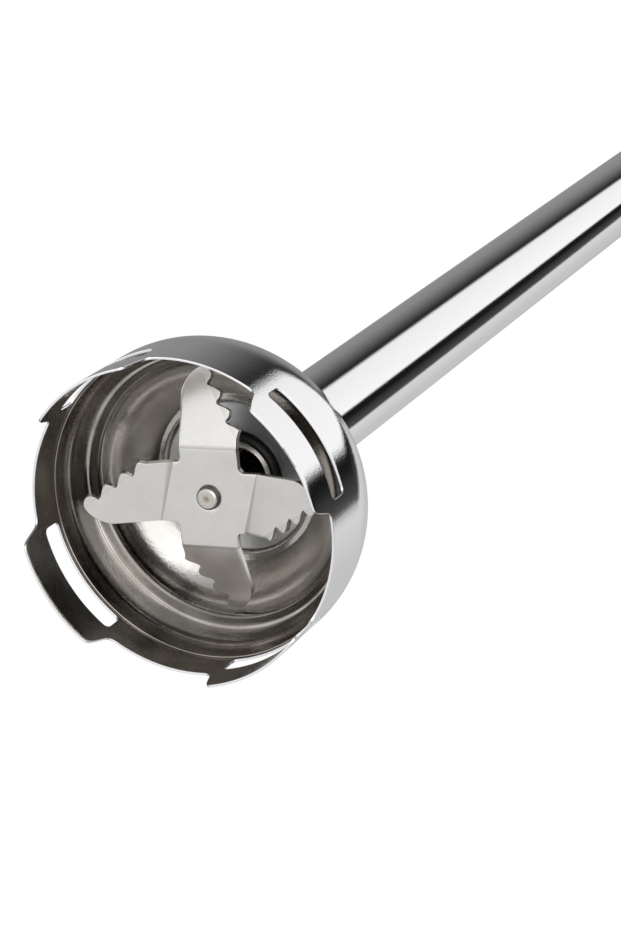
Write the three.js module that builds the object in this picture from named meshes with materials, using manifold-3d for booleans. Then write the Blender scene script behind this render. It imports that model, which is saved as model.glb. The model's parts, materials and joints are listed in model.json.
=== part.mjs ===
// A long-shaft immersion blender, standing on the rim of its bell: a polished wand with a four-armed
// blade, and a motor handle that the wand plugs into. Millimetres, +Z up, the handle's buttons at -Y.
// The origin is the centre of the bell's mouth, in the plane of its four feet.
import * as THREE from "three";
import { mergeVertices } from "three/addons/utils/BufferGeometryUtils.js";
import Module from "manifold-3d";

// ---- Driving dimensions -------------------------------------------------------------------------

const FIT = 0.15; // gap between pieces that are fixed to each other
const RUN = 0.12; // radial gap round a turning shaft
const REACH = 40; // how far a cutter runs past what it cuts

// Bell
const BELL_RADIUS = 30;
const BELL_WALL = 0.7;
const BELL_SIDES = 36;
const SKIRT_HEIGHT = 17;
const DOME_RISE = 23.7;
const FEET = 4;
const FOOT_HEIGHT = 5.85;
const FOOT_TOP_ARC = 50; // degrees, where a foot leaves the rim
const FOOT_END_ARC = 40; // degrees, where it stands
const SLOT_LOW = 7.6;
const SLOT_HEIGHT = 4.6;
const SLOT_ARC = 42.5; // degrees
const NECK_WALL = 0.8;
const NECK_HEIGHT = 3;

// Inner cup
const CUP_WALL = 0.6;
const CUP_LOW = 17.2;
const CUP_RIDGE_RADIUS = 25.4;
const CUP_RIDGE_HEIGHT = 22;
const CUP_RISE = 9;

// Tube and the bearings in it
const TUBE_RADIUS = 9.1;
const TUBE_WALL = 0.8;
const TUBE_TOP = 320;
const SHAFT_RADIUS = 3;
const BUSH_WALL = 1.95;
const BUSH_LENGTH = 8.5;
const MID_BUSH_HEIGHT = 172;
const LIP_WALL = 1.1;

// Blade
const BLADE_HEIGHT = 17.5;
const BLADE_SHEET = 1.2;
const BLADE_PHASE = 29.5; // degrees, the direction of the first arm that is bent upwards
const ARM_WIDTH = 11.5;
const ARM_OFFSET = 0.85; // the middle of each arm lies this far off the line through the shaft
const ARM_REACH = 24.3; // from the shaft to the tip, before the arm is bent
const HUB_CORNER = 1.1; // cut across the inner corners between the arms
const TOOTH_COUNT = 3;
const TOOTH_PITCH = 3.45;
const TOOTH_LEAN = 2.03; // how far the row of teeth comes in at each tooth
const FOLD_UP = { distance: 9.3, skew: 0, bend: 19 };
const FOLD_DOWN = { distance: 8.6, skew: 18, bend: -19 };
const SPIGOT_RADIUS = 2.2;
const SPIGOT_PROUD = 1;

// Wand collar and socket
const COLLAR_LOW = 301;
const FLANGE_HEIGHT = 4.5;
const FLARE_HEIGHT = 40;
const FLANGE_INSET = 0.7; // how far the flange stands in from the handle's lower edge
const PLUG_RADIUS = 18.5;
const PLUG_LENGTH = 26.5;
const PLUG_GAP = 0.3;
const WELL_RADIUS = 10;
const LATCH_HEIGHT = 13.5; // above the flange
const LATCH_DEPTH = 1.5;
const LATCH_WIDTH = 3;
const ORING_HEIGHT = 4;
const ORING_SECTION = 1.1;

// Handle
const HANDLE_GAP = 0.5;
const HANDLE_LENGTH = 160;
const HANDLE_END_HALF = 23.5;
const HANDLE_HALF_WIDTH = 25.5;
const HANDLE_HALF_DEPTH = 28;
const HANDLE_SWELL = 90; // the length over which the handle grows to its full section
const HANDLE_SQUARENESS = 2.35;
const SHELL_WALL = 2;
const SEAM = 0.3;
const RING_HEIGHT = 3.8;
const CAP_HEIGHT = 9.7;
const CROWN = 6;
const GRIP_PROUD = 1.1;
const GRIP_LENGTH = 104;
const FASCIA_WIDTH = 17.4;
const FASCIA_LENGTH = 72.4;
const FASCIA_WALL = 1.6;
const BUTTON_WIDTH = 12;
const BUTTON_LENGTH = 18;
const BUTTON_PROUD = 1.2;
const BUTTON_PLAY = 0.3;
const BUTTON_TRAVEL = 1.5;
const BUTTON_FLANGE = 0.8;
const SWITCH_DEPTH = 2;
const RELEASE_WIDTH = 11;
const RELEASE_LENGTH = 10;
const RELEASE_PROUD = 0.7;
const RELEASE_TRAVEL = 1.2;
const DIAL_RADIUS = 13.5;
const DIAL_FORWARD = 6;
const DIAL_PROUD = 4;
const GLAND_RADIUS = 4.4;
const GLAND_BACK = 15;

// Motor
const CAN_RADIUS = 17.5;
const CAN_WALL = 1.4;
const CAN_LENGTH = 60;
const CORE_RADIUS = 10.6;
const CORE_LENGTH = 36;
const MAGNET_WALL = 4.6;
const AIR_GAP = 0.6;
const MOTOR_SHAFT_RADIUS = 2.5;
const BEARING_RADIUS = 8;
const BEARING_HEIGHT = 6;
const COUPLING_RADIUS = 7.5;
const HEX_RADIUS = 4.6;
const HEX_PLAY = 0.4;

// ---- Places worked out from them ----------------------------------------------------------------

const tubeBore = TUBE_RADIUS - TUBE_WALL;
const cupHole = TUBE_RADIUS - 0.5;
const cupTop = CUP_RIDGE_HEIGHT + CUP_RISE * Math.sqrt(1 - (cupHole / CUP_RIDGE_RADIUS) ** 2);
const tubeLow = cupTop + CUP_WALL + 0.6;
const carrierStep = tubeLow + 3.8;
const carrierBore = SHAFT_RADIUS + BUSH_WALL + RUN + FIT;
const lipRadius = carrierBore + 0.7;
const sealLow = carrierStep + 3.3;
const bushLow = sealLow + 4.5;
const bladeTop = BLADE_HEIGHT + BLADE_SHEET;
const flangeLow = COLLAR_LOW + FLARE_HEIGHT;
const flangeTop = flangeLow + FLANGE_HEIGHT;
const plugTop = flangeTop + PLUG_LENGTH;
const latchLow = flangeTop + LATCH_HEIGHT;
const latchMid = latchLow + LATCH_WIDTH / 2;
const wellFloor = latchLow;
const handleLow = flangeTop + HANDLE_GAP;
const shellLow = handleLow + RING_HEIGHT + 0.2;
const handleTop = handleLow + HANDLE_LENGTH;
const capLow = handleTop - CAP_HEIGHT;
const sleeveBore = PLUG_RADIUS + PLUG_GAP;
const sleeveRadius = sleeveBore + 1.5;
const bulkheadLow = plugTop + 4;
const bulkheadTop = bulkheadLow + 4;
const canLow = bulkheadTop + BEARING_HEIGHT + 2;
const canTop = canLow + CAN_LENGTH;
const coreLow = canLow + 7;
const coreTop = coreLow + CORE_LENGTH;
const brushHeight = canTop - 4.5;
const plateLow = canTop + 0.4;
const fanLow = plateLow + 8.6;
const boardHeight = fanLow + 14;
const fasciaMid = shellLow + 81.5;
const powerHeight = fasciaMid + 15.5;
const turboHeight = fasciaMid - 12.5;

// ---- Solids -------------------------------------------------------------------------------------

const wasm = await Module();
wasm.setup();

// A closed three.js geometry as a solid that can be joined and cut.
function solid(geometry) {
  const bare = geometry.index ? geometry.toNonIndexed() : geometry.clone();
  bare.deleteAttribute("normal");
  bare.deleteAttribute("uv");
  const merged = mergeVertices(bare, 1e-4);
  return new wasm.Manifold(
    new wasm.Mesh({
      numProp: 3,
      vertProperties: merged.attributes.position.array,
      triVerts: new Uint32Array(merged.index.array),
    }),
  );
}

function geometryOf(body) {
  const mesh = body.getMesh();
  const geometry = new THREE.BufferGeometry();
  geometry.setAttribute("position", new THREE.BufferAttribute(mesh.vertProperties, 3));
  geometry.setIndex(new THREE.BufferAttribute(mesh.triVerts, 1));
  geometry.computeVertexNormals();
  return geometry;
}

const radians = (degrees) => (degrees * Math.PI) / 180;

// Points [radius, height] on an ellipse about (0, height), from one angle to another.
function ellipse(halfWidth, rise, height, from, to, steps) {
  return Array.from({ length: steps + 1 }, (_, i) => {
    const angle = from + ((to - from) * i) / steps;
    return [halfWidth * Math.cos(angle), height + rise * Math.sin(angle)];
  });
}

// A piece turned about Z: its outline of [radius, height] points runs up the outside and down the inside.
function turned(outline, sides = 20) {
  const points = outline.map(([r, z]) => new THREE.Vector2(r, z));
  if (outline[0][0] > 0) points.push(points[0].clone());
  return new THREE.LatheGeometry(points, sides).rotateX(Math.PI / 2);
}

// A plain ring about Z.
function ring(inner, outer, low, high, sides = 20) {
  return turned([[inner, low], [outer, low], [outer, high], [inner, high]], sides);
}

// A solid cylinder about Z, or about a parallel axis through [x, y].
function rod(radius, low, high, [x, y] = [0, 0], sides = 20) {
  return new THREE.CylinderGeometry(radius, radius, high - low, sides)
    .rotateX(Math.PI / 2)
    .translate(x, y, (low + high) / 2);
}

function block([x0, x1], [y0, y1], [z0, z1]) {
  return new THREE.BoxGeometry(x1 - x0, y1 - y0, z1 - z0)
    .translate((x0 + x1) / 2, (y0 + y1) / 2, (z0 + z1) / 2);
}

// A rectangle with round corners about the origin.
function roundedRectangle(width, height, corner) {
  const shape = new THREE.Shape();
  const [x, y] = [width / 2 - corner, height / 2 - corner];
  shape.absarc(x, y, corner, 0, Math.PI / 2);
  shape.absarc(-x, y, corner, Math.PI / 2, Math.PI);
  shape.absarc(-x, -y, corner, Math.PI, 1.5 * Math.PI);
  shape.absarc(x, -y, corner, 1.5 * Math.PI, 2 * Math.PI);
  return shape;
}

// A rounded bar along Y between two depths, its section width by height about (0, z).
function bar(width, height, corner, [y0, y1], z) {
  return new THREE.ExtrudeGeometry(roundedRectangle(width, height, corner), {
    depth: y1 - y0,
    bevelEnabled: false,
    curveSegments: 4,
  })
    .rotateX(Math.PI / 2)
    .translate(0, y1, z);
}

// A coil spring about Z from low to high.
function coil(radius, wire, turns, low, high) {
  const curve = new THREE.Curve();
  curve.getPoint = (t) => {
    const angle = 2 * Math.PI * turns * t;
    const height = low + wire + (high - low - 2 * wire) * t;
    return new THREE.Vector3(radius * Math.cos(angle), radius * Math.sin(angle), height);
  };
  const section = new THREE.Shape();
  section.absarc(0, 0, wire, 0, 2 * Math.PI);
  return new THREE.ExtrudeGeometry(section, {
    steps: Math.round(turns * 8),
    curveSegments: 3,
    extrudePath: curve,
  });
}

// A polygon of [degrees, height] points carried round Z and run radially from inner to outer.
function wrapped(points, inner, outer) {
  const shape = new THREE.Shape(points.map(([a, z]) => new THREE.Vector2(a, z)));
  const geometry = new THREE.ExtrudeGeometry(shape, { depth: outer - inner, bevelEnabled: false });
  const place = geometry.attributes.position;
  for (let i = 0; i < place.count; i++) {
    const angle = radians(place.getX(i));
    const radius = inner + place.getZ(i);
    place.setXYZ(i, radius * Math.cos(angle), radius * Math.sin(angle), place.getY(i));
  }
  return geometry;
}

// ---- The handle's section -----------------------------------------------------------------------

// Half width and half depth at a height: round where the wand plugs in, wider and deeper above.
function handleHalf(z) {
  const t = THREE.MathUtils.smoothstep(z, shellLow, shellLow + HANDLE_SWELL);
  return [
    HANDLE_END_HALF + (HANDLE_HALF_WIDTH - HANDLE_END_HALF) * t,
    HANDLE_END_HALF + (HANDLE_HALF_DEPTH - HANDLE_END_HALF) * t,
  ];
}

// The handle's body between two heights, its surface moved in by inset(z).
function barrel(low, high, inset, rows = 6, sides = 32) {
  const geometry = new THREE.CylinderGeometry(1, 1, high - low, sides, rows)
    .rotateX(Math.PI / 2)
    .translate(0, 0, (low + high) / 2);
  const place = geometry.attributes.position;
  for (let i = 0; i < place.count; i++) {
    const [x, y, z] = [place.getX(i), place.getY(i), place.getZ(i)];
    if (Math.hypot(x, y) < 0.5) continue;
    const [a, b] = handleHalf(z).map((half) => half - inset(z));
    const n = HANDLE_SQUARENESS;
    const grow = (Math.abs(x / a) ** n + Math.abs(y / b) ** n) ** (-1 / n);
    place.setXY(i, x * grow, y * grow);
  }
  return geometry;
}

const shellBarrel = (inset) => solid(barrel(shellLow - 1, capLow + 1, () => inset));

// ---- Wand ---------------------------------------------------------------------------------------

function bellGuard() {
  const neck = TUBE_RADIUS + FIT;
  const neckOuter = neck + NECK_WALL;
  const leave = neckOuter + 2.4;
  const outer = ellipse(BELL_RADIUS, DOME_RISE, SKIRT_HEIGHT, 0, Math.acos(leave / BELL_RADIUS), 8);
  const inside = BELL_RADIUS - BELL_WALL;
  const inner = ellipse(inside, DOME_RISE - BELL_WALL, SKIRT_HEIGHT, Math.acos(neck / inside), 0, 8);
  const shoulder = outer[outer.length - 1][1];
  const top = SKIRT_HEIGHT + DOME_RISE + NECK_HEIGHT - 1;
  const sheet = turned(
    [
      [BELL_RADIUS, 0],
      ...outer,
      [neckOuter + 0.7, shoulder + 0.9],
      [neckOuter, shoulder + 2.2],
      [neckOuter, top],
      [neck, top],
      ...inner,
      [inside, 0],
    ],
    BELL_SIDES,
  );
  let bell = solid(sheet);
  const pitch = 360 / FEET;
  for (let i = 0; i < FEET; i++) {
    const middle = -90 + i * pitch;
    const gap = [
      [middle + FOOT_END_ARC / 2, -1],
      [middle + pitch - FOOT_END_ARC / 2, -1],
      [middle + pitch - FOOT_END_ARC / 2, 0.8],
      [middle + pitch - FOOT_TOP_ARC / 2, FOOT_HEIGHT - 0.8],
      [middle + pitch - FOOT_TOP_ARC / 2 - 2, FOOT_HEIGHT],
      [middle + FOOT_TOP_ARC / 2 + 2, FOOT_HEIGHT],
      [middle + FOOT_TOP_ARC / 2, FOOT_HEIGHT - 0.8],
      [middle + FOOT_END_ARC / 2, 0.8],
    ];
    const slot = [
      [middle - SLOT_ARC / 2, SLOT_LOW],
      [middle + SLOT_ARC / 2, SLOT_LOW],
      [middle + SLOT_ARC / 2, SLOT_LOW + SLOT_HEIGHT],
      [middle - SLOT_ARC / 2, SLOT_LOW + SLOT_HEIGHT],
    ];
    const [near, far] = [0.85 * BELL_RADIUS, 1.4 * BELL_RADIUS];
    bell = bell.subtract(solid(wrapped(gap, near, far))).subtract(solid(wrapped(slot, near, far)));
  }
  return geometryOf(bell);
}

// The cup inside the bell: a flange against the skirt, a shoulder, a ridge, and a dome up to the tube.
function innerCup() {
  const flange = BELL_RADIUS - BELL_WALL - FIT - 0.1;
  const [r, z] = [CUP_RIDGE_RADIUS, CUP_RIDGE_HEIGHT];
  const below = ellipse(r, CUP_RISE, z, 0, Math.acos(cupHole / r), 4);
  const above = ellipse(r + CUP_WALL, CUP_RISE + CUP_WALL, z, Math.acos(cupHole / (r + CUP_WALL)), 0, 4);
  return turned(
    [
      ...above,
      [r + 0.9, z - 0.5],
      [flange - 1.55, z - 0.5],
      [flange - 0.45, z - 1.4],
      [flange, z - 3.2],
      [flange, CUP_LOW],
      [flange - CUP_WALL, CUP_LOW],
      [flange - CUP_WALL, z - 3.3],
      [flange - 0.95, z - 1.9],
      [flange - 1.75, z - 1.1],
      [r + 1.1, z - 1.1],
      [r + 0.7, z - 1.3],
      [r + 0.3, z - 1],
      ...below,
    ].reverse(),
    BELL_SIDES,
  );
}

function shaftTube() {
  return ring(tubeBore, TUBE_RADIUS, tubeLow, TUBE_TOP, 32);
}

// The turned carrier in the tube's lower end, with the round lip that shows in the cup.
function bearingCarrier() {
  const seat = tubeBore - FIT;
  const lipLow = cupTop + 0.7;
  const lip = lipRadius + LIP_WALL;
  return turned([
    [lipRadius + 0.3, lipLow],
    [lip - 0.3, lipLow],
    [lip, lipLow + 0.4],
    [lip, carrierStep],
    [seat, carrierStep],
    [seat, bushLow + BUSH_LENGTH + 0.4],
    [carrierBore, bushLow + BUSH_LENGTH + 0.4],
    [carrierBore, sealLow - 0.2],
    [lipRadius, sealLow - 0.2],
    [lipRadius, lipLow + 0.4],
  ]);
}

function carrierGasket() {
  return ring(lipRadius + LIP_WALL + FIT, tubeBore - FIT, tubeLow + 0.6, carrierStep - FIT);
}

// A plastic ring with ribs that keeps food off the seal.
function ribInsert() {
  const [low, step, high] = [carrierStep - 1.9, carrierStep + 0.7, sealLow - 0.4];
  const [inner, outer] = [SHAFT_RADIUS + 0.3, lipRadius - FIT];
  let insert = solid(ring(inner, outer, step, high));
  for (let i = 0; i < 10; i++) {
    const rib = block([inner + 0.3, outer - 0.1], [-0.35, 0.35], [low, step + 0.3]);
    insert = insert.add(solid(rib.rotateZ((2 * Math.PI * i) / 10)));
  }
  return geometryOf(insert);
}

function lipSeal() {
  const [inner, outer] = [SHAFT_RADIUS + RUN, carrierBore - FIT];
  return turned([
    [inner, sealLow],
    [inner + 0.5, sealLow],
    [outer, sealLow + 1],
    [outer, bushLow - 0.3],
    [inner + 0.8, bushLow - 0.3],
    [inner, sealLow + 1.2],
  ]);
}

const bushBore = SHAFT_RADIUS + RUN;
const lowerBush = () => ring(bushBore, bushBore + BUSH_WALL - FIT, bushLow, bushLow + BUSH_LENGTH);

function midBush() {
  const outer = tubeBore - FIT;
  return turned([
    [bushBore, MID_BUSH_HEIGHT],
    [outer, MID_BUSH_HEIGHT],
    [outer, MID_BUSH_HEIGHT + 7],
    [outer - 2.6, MID_BUSH_HEIGHT + 7],
    [outer - 2.6, MID_BUSH_HEIGHT + 2],
    [bushBore + 1.2, MID_BUSH_HEIGHT + 2],
    [bushBore + 1.2, MID_BUSH_HEIGHT + 7],
    [bushBore, MID_BUSH_HEIGHT + 7],
  ]);
}

const upperSeat = bushBore + 3 + FIT;
const upperBush = () => ring(bushBore, upperSeat - FIT, flangeTop + 1.7, wellFloor - 0.2);

// The moulded collar on the tube: a flare, a flange under the handle, and the plug that goes into it.
function wandCollar() {
  const seat = TUBE_RADIUS + FIT;
  const flange = HANDLE_END_HALF - FLANGE_INSET;
  const flare = Array.from({ length: 6 }, (_, i) => {
    const t = i / 5;
    return [seat + 1.3 + (flange - seat - 1.3) * t ** 1.9, COLLAR_LOW + FLARE_HEIGHT * t];
  });
  const groove = PLUG_RADIUS - LATCH_DEPTH;
  const oring = PLUG_RADIUS - ORING_SECTION;
  const oringLow = flangeTop + ORING_HEIGHT;
  const outline = [
    ...flare,
    [flange, flangeTop],
    [PLUG_RADIUS, flangeTop],
    [PLUG_RADIUS, oringLow],
    [oring, oringLow],
    [oring, oringLow + 2.4],
    [PLUG_RADIUS, oringLow + 2.4],
    [PLUG_RADIUS, latchLow],
    [groove, latchLow],
    [groove, latchLow + LATCH_WIDTH],
    [PLUG_RADIUS, latchLow + LATCH_WIDTH],
    [PLUG_RADIUS, plugTop - 1.5],
    [PLUG_RADIUS - 1, plugTop],
    [WELL_RADIUS, plugTop],
    [WELL_RADIUS, wellFloor],
    [upperSeat, wellFloor],
    [upperSeat, flangeTop + 1.5],
    [SHAFT_RADIUS + 0.6, flangeTop + 1.5],
    [SHAFT_RADIUS + 0.6, TUBE_TOP + 1.5],
    [seat, TUBE_TOP + 1.5],
    [seat, COLLAR_LOW],
  ];
  return turned(outline, 28);
}

function collarOring() {
  const low = flangeTop + ORING_HEIGHT;
  const inner = PLUG_RADIUS - ORING_SECTION + 0.05;
  return ring(inner, PLUG_RADIUS + 0.1, low + 0.3, low + 2.1, 28);
}

// ---- Drive train --------------------------------------------------------------------------------

const clipHeight = wellFloor + 0.4;
const drivenLow = clipHeight + 1.6;
const drivenTop = plugTop - 1;

function driveShaft() {
  return turned(
    [
      [0, BLADE_HEIGHT - SPIGOT_PROUD],
      [SPIGOT_RADIUS - 0.25, BLADE_HEIGHT - SPIGOT_PROUD],
      [SPIGOT_RADIUS, BLADE_HEIGHT - SPIGOT_PROUD + 0.25],
      [SPIGOT_RADIUS, bladeTop + 0.2],
      [SHAFT_RADIUS, bladeTop + 0.2],
      [SHAFT_RADIUS, clipHeight],
      [SHAFT_RADIUS - 0.5, clipHeight],
      [SHAFT_RADIUS - 0.5, clipHeight + 1],
      [SHAFT_RADIUS, clipHeight + 1],
      [SHAFT_RADIUS, drivenTop - 2],
      [0, drivenTop - 2],
    ],
    18,
  );
}

const bladeWasher = () => ring(SHAFT_RADIUS + 0.1, 5.6, bladeTop + 0.4, bladeTop + 1.9, 24);

// Outline of one arm past its fold, as [distance along the arm, distance across it]: a plain trailing
// edge that rounds to the tip, then teeth down the leading edge.
function armOutline() {
  const [low, high] = [ARM_OFFSET - ARM_WIDTH / 2, ARM_OFFSET + ARM_WIDTH / 2];
  const firstTooth = ARM_REACH - (TOOTH_COUNT + 0.35) * TOOTH_PITCH;
  const teeth = Array.from({ length: TOOTH_COUNT }, (_, i) => {
    const [along, y] = [firstTooth + TOOTH_PITCH * i, high + 0.4 - TOOTH_LEAN * i];
    return [
      [along + 2.0, y - 2.7],
      [along + 1.4, y - 2.7],
      [along, y],
    ];
  });
  return [
    [ARM_REACH - 4.8, low],
    [ARM_REACH - 2.8, low + 0.8],
    [ARM_REACH - 0.4, low + 2.8],
    [ARM_REACH, low + 4.2],
    [ARM_REACH - 1.4, low + 5.8],
    ...teeth.reverse().flat(),
    [firstTooth - 1.5, high],
  ];
}

function bladeCross() {
  const [low, high] = [ARM_OFFSET - ARM_WIDTH / 2, ARM_OFFSET + ARM_WIDTH / 2];
  const hubShape = new THREE.Shape();
  const arms = [];
  for (let i = 0; i < 4; i++) {
    const { distance, skew, bend } = i % 2 ? FOLD_DOWN : FOLD_UP;
    const turn = radians(BLADE_PHASE + 90 * i);
    const slope = Math.tan(radians(skew));
    // The fold line crosses the arm, turned by the skew: nearer on the leading side.
    const fold = (y) => distance - slope * y;
    const atHub = ([x, y]) => {
      const [c, s] = [Math.cos(turn), Math.sin(turn)];
      return new THREE.Vector2(x * c - y * s, x * s + y * c);
    };
    for (const point of [
      [high + HUB_CORNER, low],
      [fold(low), low],
      [fold(high), high],
      [HUB_CORNER - low, high],
    ]) {
      const at = atHub(point);
      if (hubShape.curves.length || hubShape.currentPoint.lengthSq()) hubShape.lineTo(at.x, at.y);
      else hubShape.moveTo(at.x, at.y);
    }
    const overlap = 0.5;
    const root = [high, low].map((y) => [fold(y) - overlap, y]);
    const outline = [...armOutline(), ...root].map(([along, y]) => new THREE.Vector2(along, y));
    const arm = new THREE.ExtrudeGeometry(new THREE.Shape(outline), {
      depth: BLADE_SHEET,
      bevelEnabled: false,
    });
    // Bent about the fold line, at mid thickness.
    const axis = new THREE.Vector3(-slope, 1, 0).normalize();
    arm
      .translate(-distance, 0, -BLADE_SHEET / 2)
      .applyMatrix4(new THREE.Matrix4().makeRotationAxis(axis, radians(-bend)))
      .translate(distance, 0, BLADE_HEIGHT + BLADE_SHEET / 2)
      .rotateZ(turn);
    arms.push(solid(arm));
  }
  hubShape.closePath();
  const hub = new THREE.ExtrudeGeometry(hubShape, { depth: BLADE_SHEET, bevelEnabled: false });
  let blade = solid(hub.translate(0, 0, BLADE_HEIGHT));
  for (const arm of arms) blade = blade.add(arm);
  const hole = rod(SPIGOT_RADIUS + 0.1, BLADE_HEIGHT - REACH, BLADE_HEIGHT + REACH, [0, 0], 24);
  return geometryOf(blade.subtract(solid(hole)));
}

// An open clip in the shaft's groove.
function shaftCirclip() {
  const clip = solid(ring(SHAFT_RADIUS - 0.4, SHAFT_RADIUS + 1.7, clipHeight + 0.1, clipHeight + 0.9, 24));
  return geometryOf(clip.subtract(solid(block([0, REACH], [-1.4, 1.4], [0, 2 * clipHeight]))));
}

// The wand's end of the coupling: a hexagon on the shaft.
function drivenCoupling() {
  const hexagon = solid(rod(HEX_RADIUS, drivenLow, drivenTop, [0, 0], 6));
  return geometryOf(hexagon.subtract(solid(rod(SHAFT_RADIUS + 0.1, 0, drivenTop - 1.8, [0, 0], 24))));
}

// ---- Handle casing ------------------------------------------------------------------------------

// One half of the casing: front is -1 for the half with the buttons, 1 for the rear one.
function casing(front) {
  const [low, high] = [shellLow, capLow];
  let shell = solid(barrel(low, high, () => 0)).subtract(shellBarrel(SHELL_WALL));
  const half = front < 0 ? [-REACH, -SEAM / 2] : [SEAM / 2, REACH];
  shell = shell.intersect(solid(block([-REACH, REACH], half, [low - 1, high + 1])));
  const window = RELEASE_WIDTH / 2 + BUTTON_PLAY;
  const [zLow, zHigh] = [-1, 1].map((s) => latchMid + s * (RELEASE_LENGTH / 2 + BUTTON_PLAY));
  return shell.subtract(solid(block([-REACH, REACH], [-window, window], [zLow, zHigh])));
}

function frontShell() {
  const [halfWidth, halfLength] = [FASCIA_WIDTH / 2 + FIT, FASCIA_LENGTH / 2 + FIT];
  const opening = block(
    [-halfWidth, halfWidth],
    [-REACH, -10],
    [fasciaMid - halfLength, fasciaMid + halfLength],
  );
  return geometryOf(casing(-1).subtract(solid(opening)));
}

// The rear half, with air slots at its sides near the top.
function rearShell() {
  let shell = casing(1);
  for (let i = 0; i < 4; i++) {
    const y = 4 + 3.4 * i;
    shell = shell.subtract(solid(block([-REACH, REACH], [y, y + 1.6], [capLow - 20, capLow - 6])));
  }
  return geometryOf(shell);
}

// The soft pad on the rear half.
function rearGrip() {
  const middle = (shellLow + capLow) / 2 - 4;
  const pad = solid(barrel(middle - GRIP_LENGTH / 2, middle + GRIP_LENGTH / 2, () => -GRIP_PROUD, 6));
  const back = block([-20, 20], [9, REACH], [middle - GRIP_LENGTH, middle + GRIP_LENGTH]);
  return geometryOf(pad.subtract(shellBarrel(-0.1)).intersect(solid(back)));
}

const buttonHoles = () =>
  [powerHeight, turboHeight].map((z) =>
    solid(bar(BUTTON_WIDTH + 2 * BUTTON_PLAY, BUTTON_LENGTH + 2 * BUTTON_PLAY, 4.3, [-REACH, 0], z)),
  );

function fascia() {
  const outline = bar(FASCIA_WIDTH, FASCIA_LENGTH, 2.5, [-REACH, -10], fasciaMid);
  let plate = shellBarrel(0).subtract(shellBarrel(FASCIA_WALL)).intersect(solid(outline));
  for (const hole of buttonHoles()) plate = plate.subtract(hole);
  return geometryOf(plate);
}

function topCap() {
  const crown = (z) => {
    const up = Math.max(0, z - (handleTop - CROWN));
    return CROWN - Math.sqrt(CROWN ** 2 - up ** 2);
  };
  const lip = solid(barrel(capLow - 3, capLow + 3, () => SHELL_WALL + 0.3, 2));
  const hollow = solid(barrel(capLow - 4, handleTop - 6.5, () => SHELL_WALL + 1.8, 2));
  const recess = solid(rod(DIAL_RADIUS + 0.5, handleTop - 4.5, handleTop + 1, [0, -DIAL_FORWARD], 40));
  const spindle = solid(rod(3.4, capLow, handleTop, [0, -DIAL_FORWARD]));
  const gland = solid(rod(GLAND_RADIUS + FIT, capLow, handleTop + 1, [0, GLAND_BACK]));
  return geometryOf(
    solid(barrel(capLow + SEAM, handleTop, crown, 5))
      .add(lip)
      .subtract(hollow)
      .subtract(recess)
      .subtract(spindle)
      .subtract(gland),
  );
}

// The rubber bushing that the mains cord would come out of.
function cordGland() {
  const hole = 3.3;
  return turned([
    [hole, handleTop - 8],
    [GLAND_RADIUS, handleTop - 8],
    [GLAND_RADIUS, handleTop + 0.2],
    [GLAND_RADIUS + 1.4, handleTop + 0.2],
    [GLAND_RADIUS + 1.1, handleTop + 1.6],
    [hole + 0.4, handleTop + 2.2],
    [hole, handleTop + 1.8],
  ]).translate(0, GLAND_BACK, 0);
}

const socketRing = () =>
  turned(
    [
      [sleeveRadius + FIT, handleLow],
      [HANDLE_END_HALF - 0.6, handleLow],
      [HANDLE_END_HALF, handleLow + 0.6],
      [HANDLE_END_HALF, shellLow - 0.2],
      [sleeveRadius + FIT, shellLow - 0.2],
    ],
    28,
  );

// The moulded frame: the socket's sleeve, a bulkhead over it, and the seat of the lower bearing.
function chassis() {
  const hole = COUPLING_RADIUS + 0.6;
  const seat = BEARING_RADIUS + FIT;
  const outline = [
    [sleeveBore, handleLow + 0.3],
    [sleeveRadius, handleLow + 0.3],
    [sleeveRadius, bulkheadTop],
    [seat + 2, bulkheadTop],
    [seat + 2, canLow - 0.3],
    [seat, canLow - 0.3],
    [seat, bulkheadTop],
    [hole, bulkheadTop],
    [hole, bulkheadLow],
    [sleeveBore, bulkheadLow],
    [sleeveBore, latchLow + LATCH_WIDTH + 0.3],
    [sleeveBore + 0.9, latchLow + LATCH_WIDTH + 0.3],
    [sleeveBore + 0.9, latchLow - 0.3],
    [sleeveBore, latchLow - 0.3],
  ];
  const window = RELEASE_WIDTH / 2 + 1.8;
  const [low, high] = [-1, 1].map((s) => latchMid + s * (RELEASE_LENGTH / 2 + 1.5));
  let frame = solid(turned(outline, 28)).subtract(
    solid(block([-REACH, REACH], [-window, window], [low, high])),
  );
  for (const x of motorScrewPlaces) frame = frame.subtract(solid(rod(1.5, 0, REACH * 10, [x, 0], 12)));
  return geometryOf(frame);
}

const motorScrewPlaces = [-13, 13];

// A pan-head screw along Z, its head below.
function screw(radius, length) {
  return turned(
    [
      [0, -1.6],
      [radius + 1, -1.6],
      [radius + 1.2, -0.9],
      [radius + 1.2, 0],
      [radius, 0],
      [radius, length - 0.8],
      [radius - 0.7, length],
      [0, length],
    ],
    12,
  );
}

const motorScrew = (x) => screw(1.25, 7).translate(x, 0, bulkheadLow - 0.2);

// An oval spring ring: it sits in the wand's groove at front and back, and its wide sides reach
// the release buttons, which squeeze it until it lets the plug go.
function latchRing() {
  const oval = (x, y) => {
    const shape = new THREE.Shape();
    shape.absellipse(0, 0, x, y, 0, 2 * Math.PI);
    return shape;
  };
  const groove = PLUG_RADIUS - LATCH_DEPTH;
  const shape = oval(sleeveBore + 1, groove + 1.3);
  shape.holes.push(oval(sleeveBore + 0.1, groove + 0.4));
  return new THREE.ExtrudeGeometry(shape, { depth: 1.8, bevelEnabled: false, curveSegments: 20 })
    .translate(0, 0, latchMid - 0.9);
}

// ---- Buttons and dial ---------------------------------------------------------------------------


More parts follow.
